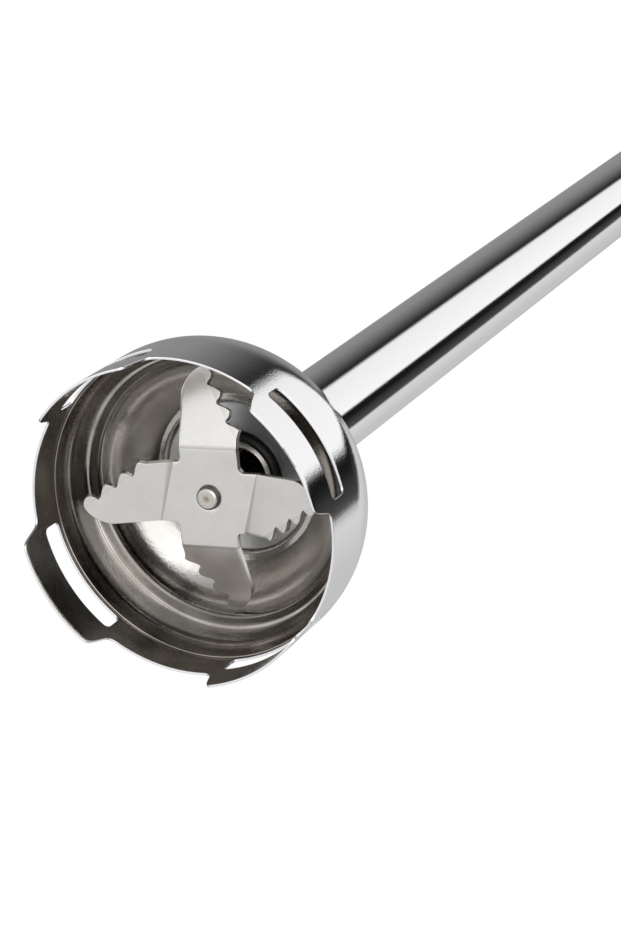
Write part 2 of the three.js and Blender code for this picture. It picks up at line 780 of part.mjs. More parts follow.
// Both buttons stand on one plane, far enough behind the fascia for the lower one to fit.
const buttonSeat = -0.955 * (handleHalf(turboHeight - BUTTON_LENGTH / 2 - 1)[1] - FASCIA_WALL) + 0.2;
const springFront = buttonSeat + BUTTON_FLANGE + FIT;
const boardFront = buttonSeat + BUTTON_FLANGE + BUTTON_TRAVEL + 0.25 + SWITCH_DEPTH;

function pushButton(z) {
  const cap = solid(bar(BUTTON_WIDTH, BUTTON_LENGTH, 4, [-REACH, buttonSeat + 0.4], z));
  const depth = [buttonSeat, buttonSeat + BUTTON_FLANGE];
  const flange = solid(bar(BUTTON_WIDTH + 2.4, BUTTON_LENGTH + 2.4, 4.8, depth, z));
  return geometryOf(cap.intersect(shellBarrel(-BUTTON_PROUD)).add(flange));
}

// The spring between a button's flange and the switch board, round the switch.
function buttonSpring(z) {
  return coil(3.6, 0.28, 3, 0, boardFront - FIT - springFront)
    .rotateX(Math.PI / 2)
    .translate(0, boardFront - FIT, z);
}

const switchBoard = () => block([-7, 7], [boardFront, boardFront + 1.2], [fasciaMid - 28, fasciaMid + 30]);

function tactileSwitch(z) {
  const body = solid(block([-2, 2], [boardFront - 1.4, boardFront - 0.1], [z - 2, z + 2]));
  const plunger = rod(1.2, boardFront - SWITCH_DEPTH, boardFront - 1, [0, -z], 12).rotateX(-Math.PI / 2);
  return geometryOf(body.add(solid(plunger)));
}

// A release button: side is 1 at +X and -1 at -X. Its flange follows the casing's inner face.
function releaseButton(side) {
  const [low, high] = [PLUG_RADIUS + RELEASE_TRAVEL + 0.4, HANDLE_END_HALF + RELEASE_PROUD];
  const pad = (width, length) =>
    new THREE.ExtrudeGeometry(roundedRectangle(length, width, 3), {
      depth: high - low,
      bevelEnabled: false,
      curveSegments: 3,
    })
      .rotateY(Math.PI / 2)
      .translate(low, 0, latchMid);
  const flange = solid(pad(RELEASE_WIDTH + 2.4, RELEASE_LENGTH + 1.8)).intersect(shellBarrel(SHELL_WALL + 0.15));
  const button = flange.add(solid(pad(RELEASE_WIDTH, RELEASE_LENGTH)));
  return geometryOf(button).rotateZ(side > 0 ? 0 : Math.PI);
}

// The speed dial, with finger grooves round its edge.
function speedDial() {
  const [low, high] = [handleTop - 4.2, handleTop + DIAL_PROUD];
  let dial = solid(
    turned(
      [
        [0, low],
        [DIAL_RADIUS, low],
        [DIAL_RADIUS, high - 1],
        [DIAL_RADIUS - 1, high],
        [0, high],
      ],
      28,
    ),
  );
  for (let i = 0; i < 14; i++) {
    const angle = (2 * Math.PI * i) / 14;
    const at = [(DIAL_RADIUS + 1) * Math.cos(angle), (DIAL_RADIUS + 1) * Math.sin(angle)];
    dial = dial.subtract(solid(rod(1.5, handleTop + 0.2, high + 1, at, 8)));
  }
  dial = dial.subtract(solid(rod(3.15, low - 1, low + 3.5)));
  return geometryOf(dial).translate(0, -DIAL_FORWARD, 0);
}

const dialSpindle = () => rod(3, boardHeight + 3, handleTop - 1, [0, -DIAL_FORWARD], 24);

function speedPot() {
  const [low, high] = [boardHeight + 1.8, boardHeight + 9];
  return turned([
    [0, low],
    [7, low],
    [7, high],
    [3.2, high],
    [3.2, low + 1],
    [0, low + 1],
  ]).translate(0, -DIAL_FORWARD, 0);
}

const controlBoard = () => rod(19, boardHeight, boardHeight + 1.6);

// ---- Motor --------------------------------------------------------------------------------------

function motorCan() {
  const bore = CAN_RADIUS - CAN_WALL;
  return turned(
    [
      [BEARING_RADIUS + 0.6, canLow],
      [CAN_RADIUS - 1, canLow],
      [CAN_RADIUS, canLow + 1],
      [CAN_RADIUS, canTop],
      [bore, canTop],
      [bore, canLow + CAN_WALL],
      [BEARING_RADIUS + 0.6, canLow + CAN_WALL],
    ],
    32,
  );
}

// One of the two field magnets: side is 1 at +X and -1 at -X.
function magnet(side) {
  const inner = CORE_RADIUS + AIR_GAP;
  const shape = new THREE.Shape();
  shape.absarc(0, 0, inner + MAGNET_WALL, radians(-58), radians(58));
  shape.absarc(0, 0, inner, radians(58), radians(-58), true);
  return new THREE.ExtrudeGeometry(shape, {
    depth: CORE_LENGTH + 4,
    bevelEnabled: false,
    curveSegments: 10,
  })
    .rotateZ(side > 0 ? 0 : Math.PI)
    .translate(0, 0, coreLow - 2);
}

function mountRing() {
  const outer = handleHalf(canLow + 2)[0] - SHELL_WALL - 0.3;
  return ring(CAN_RADIUS + FIT, outer, canLow + 2, canLow + 7, 32);
}

const motorShaft = () => rod(MOTOR_SHAFT_RADIUS, drivenTop + 1, fanLow + 9);

// The laminated core, with its winding slots.
function armatureCore() {
  const slots = 10;
  const shape = new THREE.Shape();
  const bore = MOTOR_SHAFT_RADIUS + 0.1;
  for (let i = 0; i < slots; i++) {
    for (const [share, radius] of [
      [0, CORE_RADIUS],
      [0.35, CORE_RADIUS],
      [0.72, CORE_RADIUS],
      [0.76, CORE_RADIUS - 4],
      [0.95, CORE_RADIUS - 4],
    ]) {
      const angle = (2 * Math.PI * (i + share)) / slots;
      const [x, y] = [radius * Math.cos(angle), radius * Math.sin(angle)];
      if (i || share) shape.lineTo(x, y);
      else shape.moveTo(x, y);
    }
  }
  shape.closePath();
  const hole = new THREE.Path();
  hole.absarc(0, 0, bore, 0, 2 * Math.PI, true);
  shape.holes.push(hole);
  return new THREE.ExtrudeGeometry(shape, { depth: CORE_LENGTH, bevelEnabled: false, curveSegments: 9 })
    .translate(0, 0, coreLow);
}

// The end turns of the winding, over one end of the core.
function winding(low, high) {
  const [inner, outer] = [MOTOR_SHAFT_RADIUS + 0.4, CORE_RADIUS - 0.8];
  return turned([
    [inner, low],
    [outer - 1.2, low],
    [outer, low + 1.2],
    [outer, high - 1.2],
    [outer - 1.2, high],
    [inner, high],
  ], 24);
}

const lowerWinding = () => winding(coreLow - 4.5, coreLow - 0.2);
const upperWinding = () => winding(coreTop + 0.2, coreTop + 5);
const commutatorRadius = 5.2;
const commutator = () => ring(MOTOR_SHAFT_RADIUS + 0.1, commutatorRadius, coreTop + 5.4, canTop - 0.6, 24);

// The plate that closes the can: brush holders hang from it and the upper bearing sits on it.
function brushPlate() {
  const seat = BEARING_RADIUS + FIT;
  const plate = turned([
    [MOTOR_SHAFT_RADIUS + 0.6, plateLow],
    [CAN_RADIUS, plateLow],
    [CAN_RADIUS, plateLow + 2],
    [seat + 1.6, plateLow + 2],
    [seat + 1.6, plateLow + 2 + BEARING_HEIGHT],
    [seat, plateLow + 2 + BEARING_HEIGHT],
    [seat, plateLow + 2],
    [MOTOR_SHAFT_RADIUS + 0.6, plateLow + 2],
  ]);
  let whole = solid(plate);
  for (const side of [-1, 1]) {
    const along = [7.2, 15].map((d) => side * d).sort((a, b) => a - b);
    const holder = block([-3.6, 3.6], along, [brushHeight - 3.6, plateLow + 0.5]);
    whole = whole.add(solid(holder));
  }
  const channel = block([-2.65, 2.65], [-REACH, REACH], [brushHeight - 2.65, brushHeight + 2.65]);
  return geometryOf(whole.subtract(solid(channel)));
}

// A carbon brush against the commutator: side is 1 at +Y and -1 at -Y.
function brush(side) {
  const reach = [commutatorRadius + 0.2, 13].map((d) => side * d).sort((a, b) => a - b);
  return block([-2.5, 2.5], reach, [brushHeight - 2.5, brushHeight + 2.5]);
}

const ballBearing = (low) =>
  turned([
    [MOTOR_SHAFT_RADIUS + RUN, low],
    [BEARING_RADIUS, low],
    [BEARING_RADIUS, low + BEARING_HEIGHT - 0.8],
    [MOTOR_SHAFT_RADIUS + RUN, low + BEARING_HEIGHT - 0.8],
  ], 24);

function coolingFan() {
  const radius = CAN_RADIUS - 0.5;
  let fan = solid(ring(MOTOR_SHAFT_RADIUS + 0.1, radius, fanLow, fanLow + 1.2));
  fan = fan.add(solid(ring(MOTOR_SHAFT_RADIUS + 0.1, 5.5, fanLow, fanLow + 7)));
  for (let i = 0; i < 8; i++) {
    const vane = block([5.2, radius - 0.5], [-0.5, 0.5], [fanLow + 1, fanLow + 7]);
    fan = fan.add(solid(vane.rotateZ((2 * Math.PI * i) / 8)));
  }
  return geometryOf(fan);
}

// The motor's end of the coupling: a cup with a hexagonal hole.
function driverCoupling() {
  const low = drivenLow + 1;
  const cup = solid(rod(COUPLING_RADIUS, low, bulkheadTop - 0.6));
  const hole = solid(rod(HEX_RADIUS + HEX_PLAY, low - 1, drivenTop + 0.8, [0, 0], 6));
  const bore = solid(rod(MOTOR_SHAFT_RADIUS + 0.1, low, bulkheadTop + 1, [0, 0], 24));
  return geometryOf(cup.subtract(hole).subtract(bore));
}

// ---- Finishes -----------------------------------------------------------------------------------

const finish = (color, roughness, metalness) =>
  new THREE.MeshStandardMaterial({ color, roughness, metalness });

const polished = finish(0xd9dadb, 0.08, 1);
const satin = finish(0xb8b2aa, 0.35, 1);
const ground = finish(0xcfcdca, 0.28, 1);
const steel = finish(0xa9abad, 0.35, 1);
const bronze = finish(0xa87b45, 0.5, 1);
const copper = finish(0xb5622c, 0.4, 1);
const ferrite = finish(0x33343a, 0.7, 0);
const carbon = finish(0x222222, 0.8, 0);
const shellPlastic = finish(0x2a2b2d, 0.5, 0);
const softGrip = finish(0x1c1d1f, 0.85, 0);
const innerPlastic = finish(0xd8d8d2, 0.6, 0);
const blackPlastic = finish(0x17171a, 0.5, 0);
const rubber = finish(0x151515, 0.8, 0);
const laminate = finish(0x1f6b3a, 0.6, 0);

// ---- Assembly -----------------------------------------------------------------------------------

const blender = new THREE.Group();

function add(group, name, geometry, material) {
  const mesh = new THREE.Mesh(geometry, material);
  mesh.name = name;
  group.add(mesh);
}

const wand = new THREE.Group();
add(wand, "bell_guard", bellGuard(), polished);
add(wand, "inner_cup", innerCup(), satin);
add(wand, "shaft_tube", shaftTube(), polished);
add(wand, "bearing_carrier", bearingCarrier(), polished);
add(wand, "carrier_gasket", carrierGasket(), rubber);
add(wand, "rib_insert", ribInsert(), blackPlastic);
add(wand, "lip_seal", lipSeal(), rubber);
add(wand, "lower_bush", lowerBush(), bronze);
add(wand, "mid_bush", midBush(), innerPlastic);
add(wand, "upper_bush", upperBush(), bronze);
add(wand, "wand_collar", wandCollar(), shellPlastic);
add(wand, "collar_oring", collarOring(), rubber);

const driveTrain = new THREE.Group();
add(driveTrain, "drive_shaft", driveShaft(), steel);
add(driveTrain, "blade_cross", bladeCross(), ground);
add(driveTrain, "blade_washer", bladeWasher(), steel);
add(driveTrain, "shaft_circlip", shaftCirclip(), steel);
add(driveTrain, "driven_coupling", drivenCoupling(), steel);

const handle = new THREE.Group();
add(handle, "socket_ring", socketRing(), polished);
add(handle, "front_shell", frontShell(), shellPlastic);
add(handle, "rear_shell", rearShell(), shellPlastic);
add(handle, "rear_grip", rearGrip(), softGrip);
add(handle, "fascia", fascia(), ground);
add(handle, "top_cap", topCap(), shellPlastic);
add(handle, "cord_gland", cordGland(), rubber);
add(handle, "chassis", chassis(), innerPlastic);
add(handle, "latch_ring", latchRing(), steel);
add(handle, "motor_can", motorCan(), steel);
add(handle, "mount_ring", mountRing(), rubber);
add(handle, "magnet_right", magnet(1), ferrite);
add(handle, "magnet_left", magnet(-1), ferrite);
add(handle, "brush_plate", brushPlate(), blackPlastic);
add(handle, "brush_rear", brush(1), carbon);
add(handle, "brush_front", brush(-1), carbon);
add(handle, "lower_bearing", ballBearing(bulkheadTop + 0.3), steel);
add(handle, "upper_bearing", ballBearing(plateLow + 2.2), steel);
add(handle, "switch_board", switchBoard(), laminate);
add(handle, "power_switch", tactileSwitch(powerHeight), blackPlastic);
add(handle, "turbo_switch", tactileSwitch(turboHeight), blackPlastic);
add(handle, "control_board", controlBoard(), laminate);
add(handle, "speed_pot", speedPot(), steel);
motorScrewPlaces.forEach((x, i) => add(handle, `motor_screw_${i + 1}`, motorScrew(x), steel));

const armature = new THREE.Group();
add(armature, "motor_shaft", motorShaft(), steel);
add(armature, "armature_core", armatureCore(), steel);
add(armature, "lower_winding", lowerWinding(), copper);
add(armature, "upper_winding", upperWinding(), copper);
add(armature, "commutator", commutator(), copper);
add(armature, "cooling_fan", coolingFan(), blackPlastic);
add(armature, "driver_coupling", driverCoupling(), innerPlastic);

const controls = new THREE.Group();
add(controls, "power_button", pushButton(powerHeight), shellPlastic);
add(controls, "power_spring", buttonSpring(powerHeight), steel);
add(controls, "turbo_button", pushButton(turboHeight), shellPlastic);
add(controls, "turbo_spring", buttonSpring(turboHeight), steel);
add(controls, "release_right", releaseButton(1), shellPlastic);
add(controls, "release_left", releaseButton(-1), shellPlastic);
add(controls, "speed_dial", speedDial(), shellPlastic);
add(controls, "dial_spindle", dialSpindle(), steel);

blender.add(wand, driveTrain, handle, armature, controls);

export default blender;
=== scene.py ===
# %% [markdown]
# # A long-shaft immersion blender
# The real thing is a polished steel wand that plugs into a motor handle. At its foot a slotted bell
# keeps the food round a four-armed blade. The solids come ready from the CAD model, each one on the
# body that carries it. This lesson dresses them: round pieces are turned again with smooth skins, the
# blade is cut and bent from sheet, and every finish is made from nodes. Everything is in metres and in
# the frame of the CAD model, with +Z up the drive shaft.

import json
import math

import bmesh
import bpy
import numpy as np
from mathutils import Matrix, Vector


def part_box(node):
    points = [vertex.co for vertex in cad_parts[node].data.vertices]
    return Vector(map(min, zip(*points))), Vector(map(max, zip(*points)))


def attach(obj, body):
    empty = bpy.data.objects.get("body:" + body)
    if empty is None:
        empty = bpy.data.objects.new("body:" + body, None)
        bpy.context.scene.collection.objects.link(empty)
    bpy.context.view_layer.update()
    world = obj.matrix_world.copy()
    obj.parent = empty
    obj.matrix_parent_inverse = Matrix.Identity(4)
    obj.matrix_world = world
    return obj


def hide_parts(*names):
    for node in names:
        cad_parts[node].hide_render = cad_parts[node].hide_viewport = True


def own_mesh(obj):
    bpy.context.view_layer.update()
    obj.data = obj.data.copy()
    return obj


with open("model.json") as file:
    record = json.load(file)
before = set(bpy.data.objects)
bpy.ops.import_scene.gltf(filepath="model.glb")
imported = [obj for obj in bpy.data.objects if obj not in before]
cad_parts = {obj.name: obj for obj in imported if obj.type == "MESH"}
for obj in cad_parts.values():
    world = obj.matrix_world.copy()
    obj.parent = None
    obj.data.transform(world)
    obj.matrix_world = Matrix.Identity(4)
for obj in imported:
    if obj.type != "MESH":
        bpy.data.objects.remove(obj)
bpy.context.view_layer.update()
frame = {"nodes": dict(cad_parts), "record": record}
MM = 0.001

# %% [markdown]
# ## Grids into meshes
# Every new piece is a grid of points worked out by numpy in one go. A grid can close on itself in
# either direction, so a turned ring has no seam, and faces can be left out where sheet is punched.
# A Bezier sweep or a boolean could make most of these shapes too, but a grid keeps the faces even,
# and even faces are what a mirror finish needs.

# %% Turn a grid of points into an object


def sheet(name, grid, round_u=False, round_v=False, keep=None):
    """A mesh from a grid of points in mm. Each quad joins point (u, v) with its next ones in u and v,
    and its outside is on the side of (along u) x (along v). keep says which quads stay."""
    m, n = grid.shape[:2]
    index = np.arange(m * n).reshape(m, n)
    if round_u:
        index = np.concatenate([index, index[:1]], 0)
    if round_v:
        index = np.concatenate([index, index[:, :1]], 1)
    quads = np.stack([index[:-1, :-1], index[1:, :-1], index[1:, 1:], index[:-1, 1:]], -1)
    quads = quads.reshape(-1, 4) if keep is None else quads[keep]
    used, quads = np.unique(quads, return_inverse=True)
    mesh = bpy.data.meshes.new(name)
    mesh.from_pydata(grid.reshape(-1, 3)[used] * MM, [], quads.reshape(-1, 4))
    piece = bpy.data.objects.new(name, mesh)
    bpy.context.scene.collection.objects.link(piece)
    return piece


def weld(piece, distance=0.002):
    """Points closer than distance in mm become one, which closes poles and joins grids."""
    edit = bmesh.new()
    edit.from_mesh(piece.data)
    bmesh.ops.remove_doubles(edit, verts=edit.verts, dist=distance * MM)
    edit.to_mesh(piece.data)
    edit.free()
    return piece


def smooth(piece, angle=32):
    """Soft shading, but for edges that turn by more than the angle in degrees."""
    piece.data.shade_smooth()
    piece.data.set_sharp_from_angle(angle=math.radians(angle))
    return piece


# %% [markdown]
# ## Turned pieces
# A lathe makes the tube, the collar, rings and bushes. The outline is a closed loop of
# [radius, height] points that runs up the outside and down the inside. No real edge is perfectly
# sharp, so each corner is first swapped for a small curve: it is what catches the light.

# %% Round an outline's corners and turn it


def rounded(points, radius, steps=4):
    """Each corner of a closed outline becomes a parabola that starts radius before the corner and
    ends radius past it: (1-t)^2 A + 2t(1-t) P + t^2 C, never past half of a side."""
    corner = np.array(points, float)
    back, ahead = np.roll(corner, 1, 0) - corner, np.roll(corner, -1, 0) - corner
    length = [np.linalg.norm(side, axis=1, keepdims=True) for side in (back, ahead)]
    reach = np.minimum(radius, 0.45 * np.minimum(*length))
    reach = np.where(corner[:, :1] < 1e-6, 0, reach)
    a, c = corner + back / length[0] * reach, corner + ahead / length[1] * reach
    t = np.linspace(0, 1, steps + 1)[None, :, None]
    curve = (1 - t) ** 2 * a[:, None] + 2 * t * (1 - t) * corner[:, None] + t**2 * c[:, None]
    return curve.reshape(-1, 2)


def turned(name, outline, sides=144, closed=True):
    """A point of the outline at radius r and height z goes to (r cos a, r sin a, z) for every angle a."""
    outline = np.asarray(outline, float)
    a = np.linspace(0, 2 * np.pi, sides, endpoint=False)[:, None]
    r, z = outline[None, :, 0], outline[None, :, 1]
    grid = np.stack([r * np.cos(a), r * np.sin(a), z + 0 * a], -1)
    return smooth(weld(sheet(name, grid, round_u=True, round_v=closed)))


def span(node):
    """The lowest and highest z of a CAD node, and its largest radius, in mm."""
    low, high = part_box(node)
    return low[2] / MM, high[2] / MM, max(high[0], -low[0]) / MM


print("bell", span("bell_guard"), "tube", span("shaft_tube"))

# %% [markdown]
# ## Shader maths
# Node trees are easier to read as sums. A Signal wraps one socket, and the usual operators add the
# Math nodes. A Tree holds a node tree: its node() method adds any other node, and the few recipes
# below build on it. A Finish is the Tree of one material.

# %% Sockets that can be added and multiplied


class Signal:
    """A number that varies over a surface."""

    def __init__(self, tree, socket):
        self.tree, self.socket = tree, socket

    def maths(self, operation, *others):
        node = self.tree.nodes.new("ShaderNodeMath")
        node.operation = operation
        for place, item in zip(node.inputs, others):
            if isinstance(item, Signal):
                self.tree.links.new(item.socket, place)
            else:
                place.default_value = item
        return Signal(self.tree, node.outputs[0])

    def __add__(self, other):
        return self.maths("ADD", self, other)

    def __mul__(self, other):
        return self.maths("MULTIPLY", self, other)

    def __sub__(self, other):
        return self.maths("SUBTRACT", self, other)

    def __rsub__(self, other):
        return self.maths("SUBTRACT", other, self)

    def __truediv__(self, other):
        return self.maths("DIVIDE", self, other)

    def __pow__(self, other):
        return self.maths("POWER", self, other)

    __radd__, __rmul__ = __add__, __mul__

    def step(self, low, high):
        """0 below low, 1 above high, and an even curve between them."""
        node = self.tree.nodes.new("ShaderNodeMapRange")
        node.interpolation_type = "SMOOTHSTEP"
        self.tree.links.new(self.socket, node.inputs["Value"])
        node.inputs["From Min"].default_value = low
        node.inputs["From Max"].default_value = high
        return Signal(self.tree, node.outputs["Result"])


class Tree:
    """A node tree, and what this lesson adds to it. Every node is made by node()."""

    def __init__(self, tree):
        self.tree = tree

    def node(self, kind, settings=None, inputs=None, output=0):
        node = self.tree.nodes.new("ShaderNode" + kind)
        for word, value in (settings or {}).items():
            if word == "stops":
                for _ in range(len(value) - 2):
                    node.color_ramp.elements.new(0.5)
                for element, (place, colour) in zip(node.color_ramp.elements, value):
                    element.position, element.color = place, (*colour, 1)
            else:
                setattr(node, word, value)
        for word, value in (inputs or {}).items():
            if isinstance(value, Signal):
                self.tree.links.new(value.socket, node.inputs[word])
            else:
                node.inputs[word].default_value = value
        return Signal(self.tree, node.outputs[output])

    def place(self, stretch=(1, 1, 1)):
        """Object coordinates, multiplied along each axis: a small number draws a pattern out into lines."""
        where = self.node("TexCoord", output="Object")
        return self.node("Mapping", None, {"Vector": where, "Scale": stretch})

    def noise(self, size, detail=3, stretch=(1, 1, 1), rough=0.5):
        """Soft noise whose blobs are about size mm wide."""
        settings = {"Scale": 1 / (size * MM), "Detail": detail, "Roughness": rough}
        return self.node("TexNoise", None, {"Vector": self.place(stretch), **settings})

    def radius(self):
        """The distance from the drive shaft's axis, in mm."""
        x, y = (self.node("SeparateXYZ", None, {"Vector": self.place()}, output=axis) for axis in (0, 1))
        return ((x * (1 / MM)) ** 2 + (y * (1 / MM)) ** 2) ** 0.5

    def blend(self, factor, a, b):
        """Colour a where factor is 0, b where it is 1."""
        as_colour = lambda c: c if isinstance(c, Signal) else (*c, 1)
        inputs = {0: factor, 6: as_colour(a), 7: as_colour(b)}
        return self.node("Mix", {"data_type": "RGBA"}, inputs, output=2)


class Finish(Tree):
    """One material. constants are set on the shader's own sockets."""

    def __init__(self, name, constants):
        self.material = bpy.data.materials.new(name)
        self.material.use_nodes = True
        super().__init__(self.material.node_tree)
        self.shader = self.tree.nodes["Principled BSDF"]
        for socket, value in constants.items():
            self.shader.inputs[socket].default_value = value

    def drive(self, socket, signal):
        self.tree.links.new(signal.socket, self.shader.inputs[socket])

    def relief(self, height, depth):
        """Height from 0 to 1 as bumps that are depth mm deep."""
        inputs = {"Height": height, "Distance": depth * MM, "Strength": 1.0}
        self.drive("Normal", self.node("Bump", None, inputs))
        return self


print("shader helpers ready")

# %% [markdown]
# ## Metals
# The outside of the bell and the tube are buffed to a mirror, with only faint polishing haze. The
# inside of the bell is left as it came from the press, so it shows the grain of the sheet, a fine
# orange peel with a warm tint. The blade is ground: light, satin, with fine lines, and its sheet
# carries two marks that the material reads, the distance past the teeth and past the fold.

# %% Steel finishes


def mirror_steel(name, peel_depth):
    finish = Finish(name, {"Base Color": (0.88, 0.88, 0.885, 1), "Metallic": 1})
    haze, peel = finish.noise(9, 3, stretch=(1, 1, 0.25)), finish.noise(0.32, 3)
    streak = finish.noise(0.8, 2, stretch=(1, 1, 0.03))
    finish.drive("Roughness", 0.04 + haze * 0.04 + streak * 0.015)
    return finish.relief(peel * 0.85 + streak * 0.15, peel_depth)


def pressed_steel(name, dark, light, roughness, depth):
    """Unpolished sheet: colour patches, and two sizes of grain."""
    finish = Finish(name, {"Metallic": 1})
    patch = finish.noise(8, 3).step(0.3, 0.7)
    coarse, fine = finish.noise(1.1, 2), finish.noise(0.32, 3)
    finish.drive("Base Color", finish.blend(patch * 0.6 + fine * 0.4, dark, light))
    finish.drive("Roughness", roughness + coarse * 0.06)
    return finish.relief(coarse * 0.5 + fine * 0.5, depth)


def ground_steel(name, colour, roughness, stretch, depth=0.002):
    """Fine lines from a belt, along the axis that is stretched least."""
    finish = Finish(name, {"Metallic": 1})
    line, cloud = finish.noise(0.16, 4, stretch, 0.6), finish.noise(4, 3)
    tint = [tuple(c * k for c in colour) for k in (0.86, 1.06)]
    finish.drive("Base Color", finish.blend(line * 0.5 + cloud * 0.5, *tint))
    finish.drive("Roughness", roughness + cloud * 0.08 + line * 0.05)
    return finish.relief(line, depth)


def cup_steel(name, dark, light, roughness, depth):
    """The same sheet, with painted shade darkening the bead but for its crest, a painted highlight
    lightening the dome, and planished flat and smooth in the middle of the cup."""
    finish = pressed_steel(name, dark, light, roughness, depth)
    radius = finish.radius()
    dome, flat = 1 - radius.step(23.9, 24.5), 1 - radius.step(14.3, 14.7)
    before = [finish.shader.inputs[socket].links[0].from_socket for socket in ("Roughness", "Base Color")]
    rough, colour = (Signal(finish.tree, socket) for socket in before)
    finish.drive("Roughness", rough * (1 - flat) + flat * 0.34)
    # Painted shade: the bead, from 24.3 to 29.3 mm out, is blended towards near black, all but its crest.
    bead = radius.step(24.3, 24.8) * (1 - radius.step(28.4, 29.3))
    crest = radius.step(26.05, 26.3) * (1 - radius.step(26.5, 26.8))
    colour = finish.blend(bead * (1 - crest) * 0.6, colour, (0.07, 0.062, 0.055))
    # Painted highlight: inside 24.5 mm the dome is blended halfway towards a light grey.
    colour = finish.blend(dome * 0.5, colour, (0.56, 0.55, 0.54))
    finish.drive("Base Color", finish.blend(flat, colour, (0.60, 0.62, 0.62)))
    return finish


def blade_steel(name):
    """Ground sheet. Past the line of the teeth the stone left finer, darker lines. A dark band along the
    fold is painted shade.
    """
    finish = Finish(name, {"Metallic": 1})
    fine, cloud = finish.noise(0.16, 4, (1, 0.05, 1), 0.6), finish.noise(5, 3)
    past = finish.node("Attribute", {"attribute_name": "ground"}, output="Fac")
    across = finish.node("CombineXYZ", None, {"X": past})
    lines_per_mm = 5.0
    line = finish.node("TexNoise", None, {"Vector": across, "Scale": lines_per_mm, "Detail": 2})
    band = past.step(-0.1, 0.12)
    fold = finish.node("Attribute", {"attribute_name": "fold"}, output="Fac")
    fold_shade = fold.step(-0.5, 0) * (1 - fold.step(0.1, 0.9))
    plain = finish.blend(fine * 0.5 + cloud * 0.5, (0.58, 0.565, 0.545), (0.80, 0.785, 0.765))
    ground = finish.blend(band * line.step(0.45, 0.65) * 0.5, plain, (0.46, 0.445, 0.42))
    # Painted shade: a dark band is blended in along the fold.
    finish.drive("Base Color", finish.blend(fold_shade * 0.5, ground, (0.22, 0.21, 0.2)))
    finish.drive("Roughness", 0.16 + cloud * 0.07 + band * 0.08)
    return finish.relief(fine * 0.25 + line * band * 0.5, 0.005)


def rivet_steel(name):
    """Turned steel, with faint rings, a brown spot in the middle of the riveted end, and painted shade:
    near black past 1.9 mm from the axis.
    """
    finish = Finish(name, {"Metallic": 1})
    radius = finish.radius()
    along = finish.node("CombineXYZ", None, {"X": radius})
    rings = finish.node("TexNoise", None, {"Vector": along, "Scale": 5})
    spot = 1 - radius.step(0.1, 1.0)
    steel = finish.blend(rings, (0.50, 0.475, 0.43), (0.68, 0.66, 0.62))
    face = finish.blend(spot * 0.85, steel, (0.30, 0.23, 0.16))
    # Painted shade: the rivet's side and the shaft beyond it are coloured near black.
    finish.drive("Base Color", finish.blend(radius.step(1.9, 2.15), face, (0.11, 0.10, 0.09)))
    finish.drive("Roughness", 0.22 + rings * 0.1)
    return finish.relief(rings, 0.01)


def cast_metal(name, colour, roughness, grain, metallic=1.0):
    finish = Finish(name, {"Metallic": metallic})
    speck = finish.noise(grain, 4)
    tint = [tuple(c * k for c in colour) for k in (0.75, 1.15)]
    finish.drive("Base Color", finish.blend(speck, *tint))
    finish.drive("Roughness", roughness + speck * 0.12)
    return finish.relief(speck, 0.01)


# %% [markdown]
# ## Plastics and rubber
# Moulded plastic carries the fine spark-eroded grain of its mould, and rubbed places shine a little
# more. Rubber is nearly the same with a softer, rougher grain.

# %% Plastic finishes


def moulded(name, colour, roughness, grain=0.35, depth=0.012):
    finish = Finish(name, {"Specular IOR Level": 0.45})
    speck, worn = finish.noise(grain, 3), finish.noise(18, 2)
    tint = [tuple(c * k for c in colour) for k in (0.88, 1.12)]
    finish.drive("Base Color", finish.blend(speck * 0.4 + worn * 0.6, *tint))
    finish.drive("Roughness", roughness - worn * 0.1 + speck * 0.06)
    return finish.relief(speck, depth)


PRESSED = {"dark": (0.23, 0.208, 0.184), "light": (0.5, 0.472, 0.44), "roughness": 0.1, "depth": 0.045}
FINISH = {
    "polished_steel": mirror_steel("polished_steel", 0.008),
    "spun_steel": mirror_steel("spun_steel", 0.02),
    "satin_steel": pressed_steel("satin_steel", **PRESSED),
    "cup_steel": cup_steel("cup_steel", **PRESSED),
    "lip_steel": ground_steel("lip_steel", (0.80, 0.76, 0.70), 0.38, (1, 1, 0.1)),
    "rivet_steel": rivet_steel("rivet_steel"),
    "blade_steel": blade_steel("blade_steel"),
    "ground_steel": ground_steel("ground_steel", (0.74, 0.725, 0.70), 0.27, (1, 0.04, 1)),
    "machined_steel": ground_steel("machined_steel", (0.56, 0.56, 0.57), 0.25, (0.3, 0.3, 1)),
    "sintered_bronze": cast_metal("sintered_bronze", (0.55, 0.36, 0.17), 0.42, 0.4),
    "copper": ground_steel("copper", (0.72, 0.33, 0.14), 0.3, (0.2, 0.2, 1)),
    "ferrite": cast_metal("ferrite", (0.05, 0.05, 0.055), 0.55, 0.3, 0.2),
    "carbon": cast_metal("carbon", (0.03, 0.03, 0.03), 0.6, 0.2, 0.1),
    "dark_plastic": moulded("dark_plastic", (0.026, 0.028, 0.031), 0.42),
    "light_plastic": moulded("light_plastic", (0.62, 0.61, 0.57), 0.5),
    "black_plastic": moulded("black_plastic", (0.012, 0.012, 0.013), 0.4),
    "soft_grip": moulded("soft_grip", (0.014, 0.014, 0.015), 0.75, 0.5, 0.03),
    "brown_plastic": moulded("brown_plastic", (0.15, 0.13, 0.11), 0.5),
    "black_rubber": moulded("black_rubber", (0.012, 0.012, 0.012), 0.5, 0.6, 0.01),
    "board": moulded("board", (0.02, 0.16, 0.06), 0.4, 0.8, 0.01),
}
print("finishes:", ", ".join(FINISH))

# %% [markdown]
# ## Dressing a piece
# Each new piece stands for a CAD node. It takes that node's body, its material slot and, unless told
# otherwise, the finish that goes with the slot.

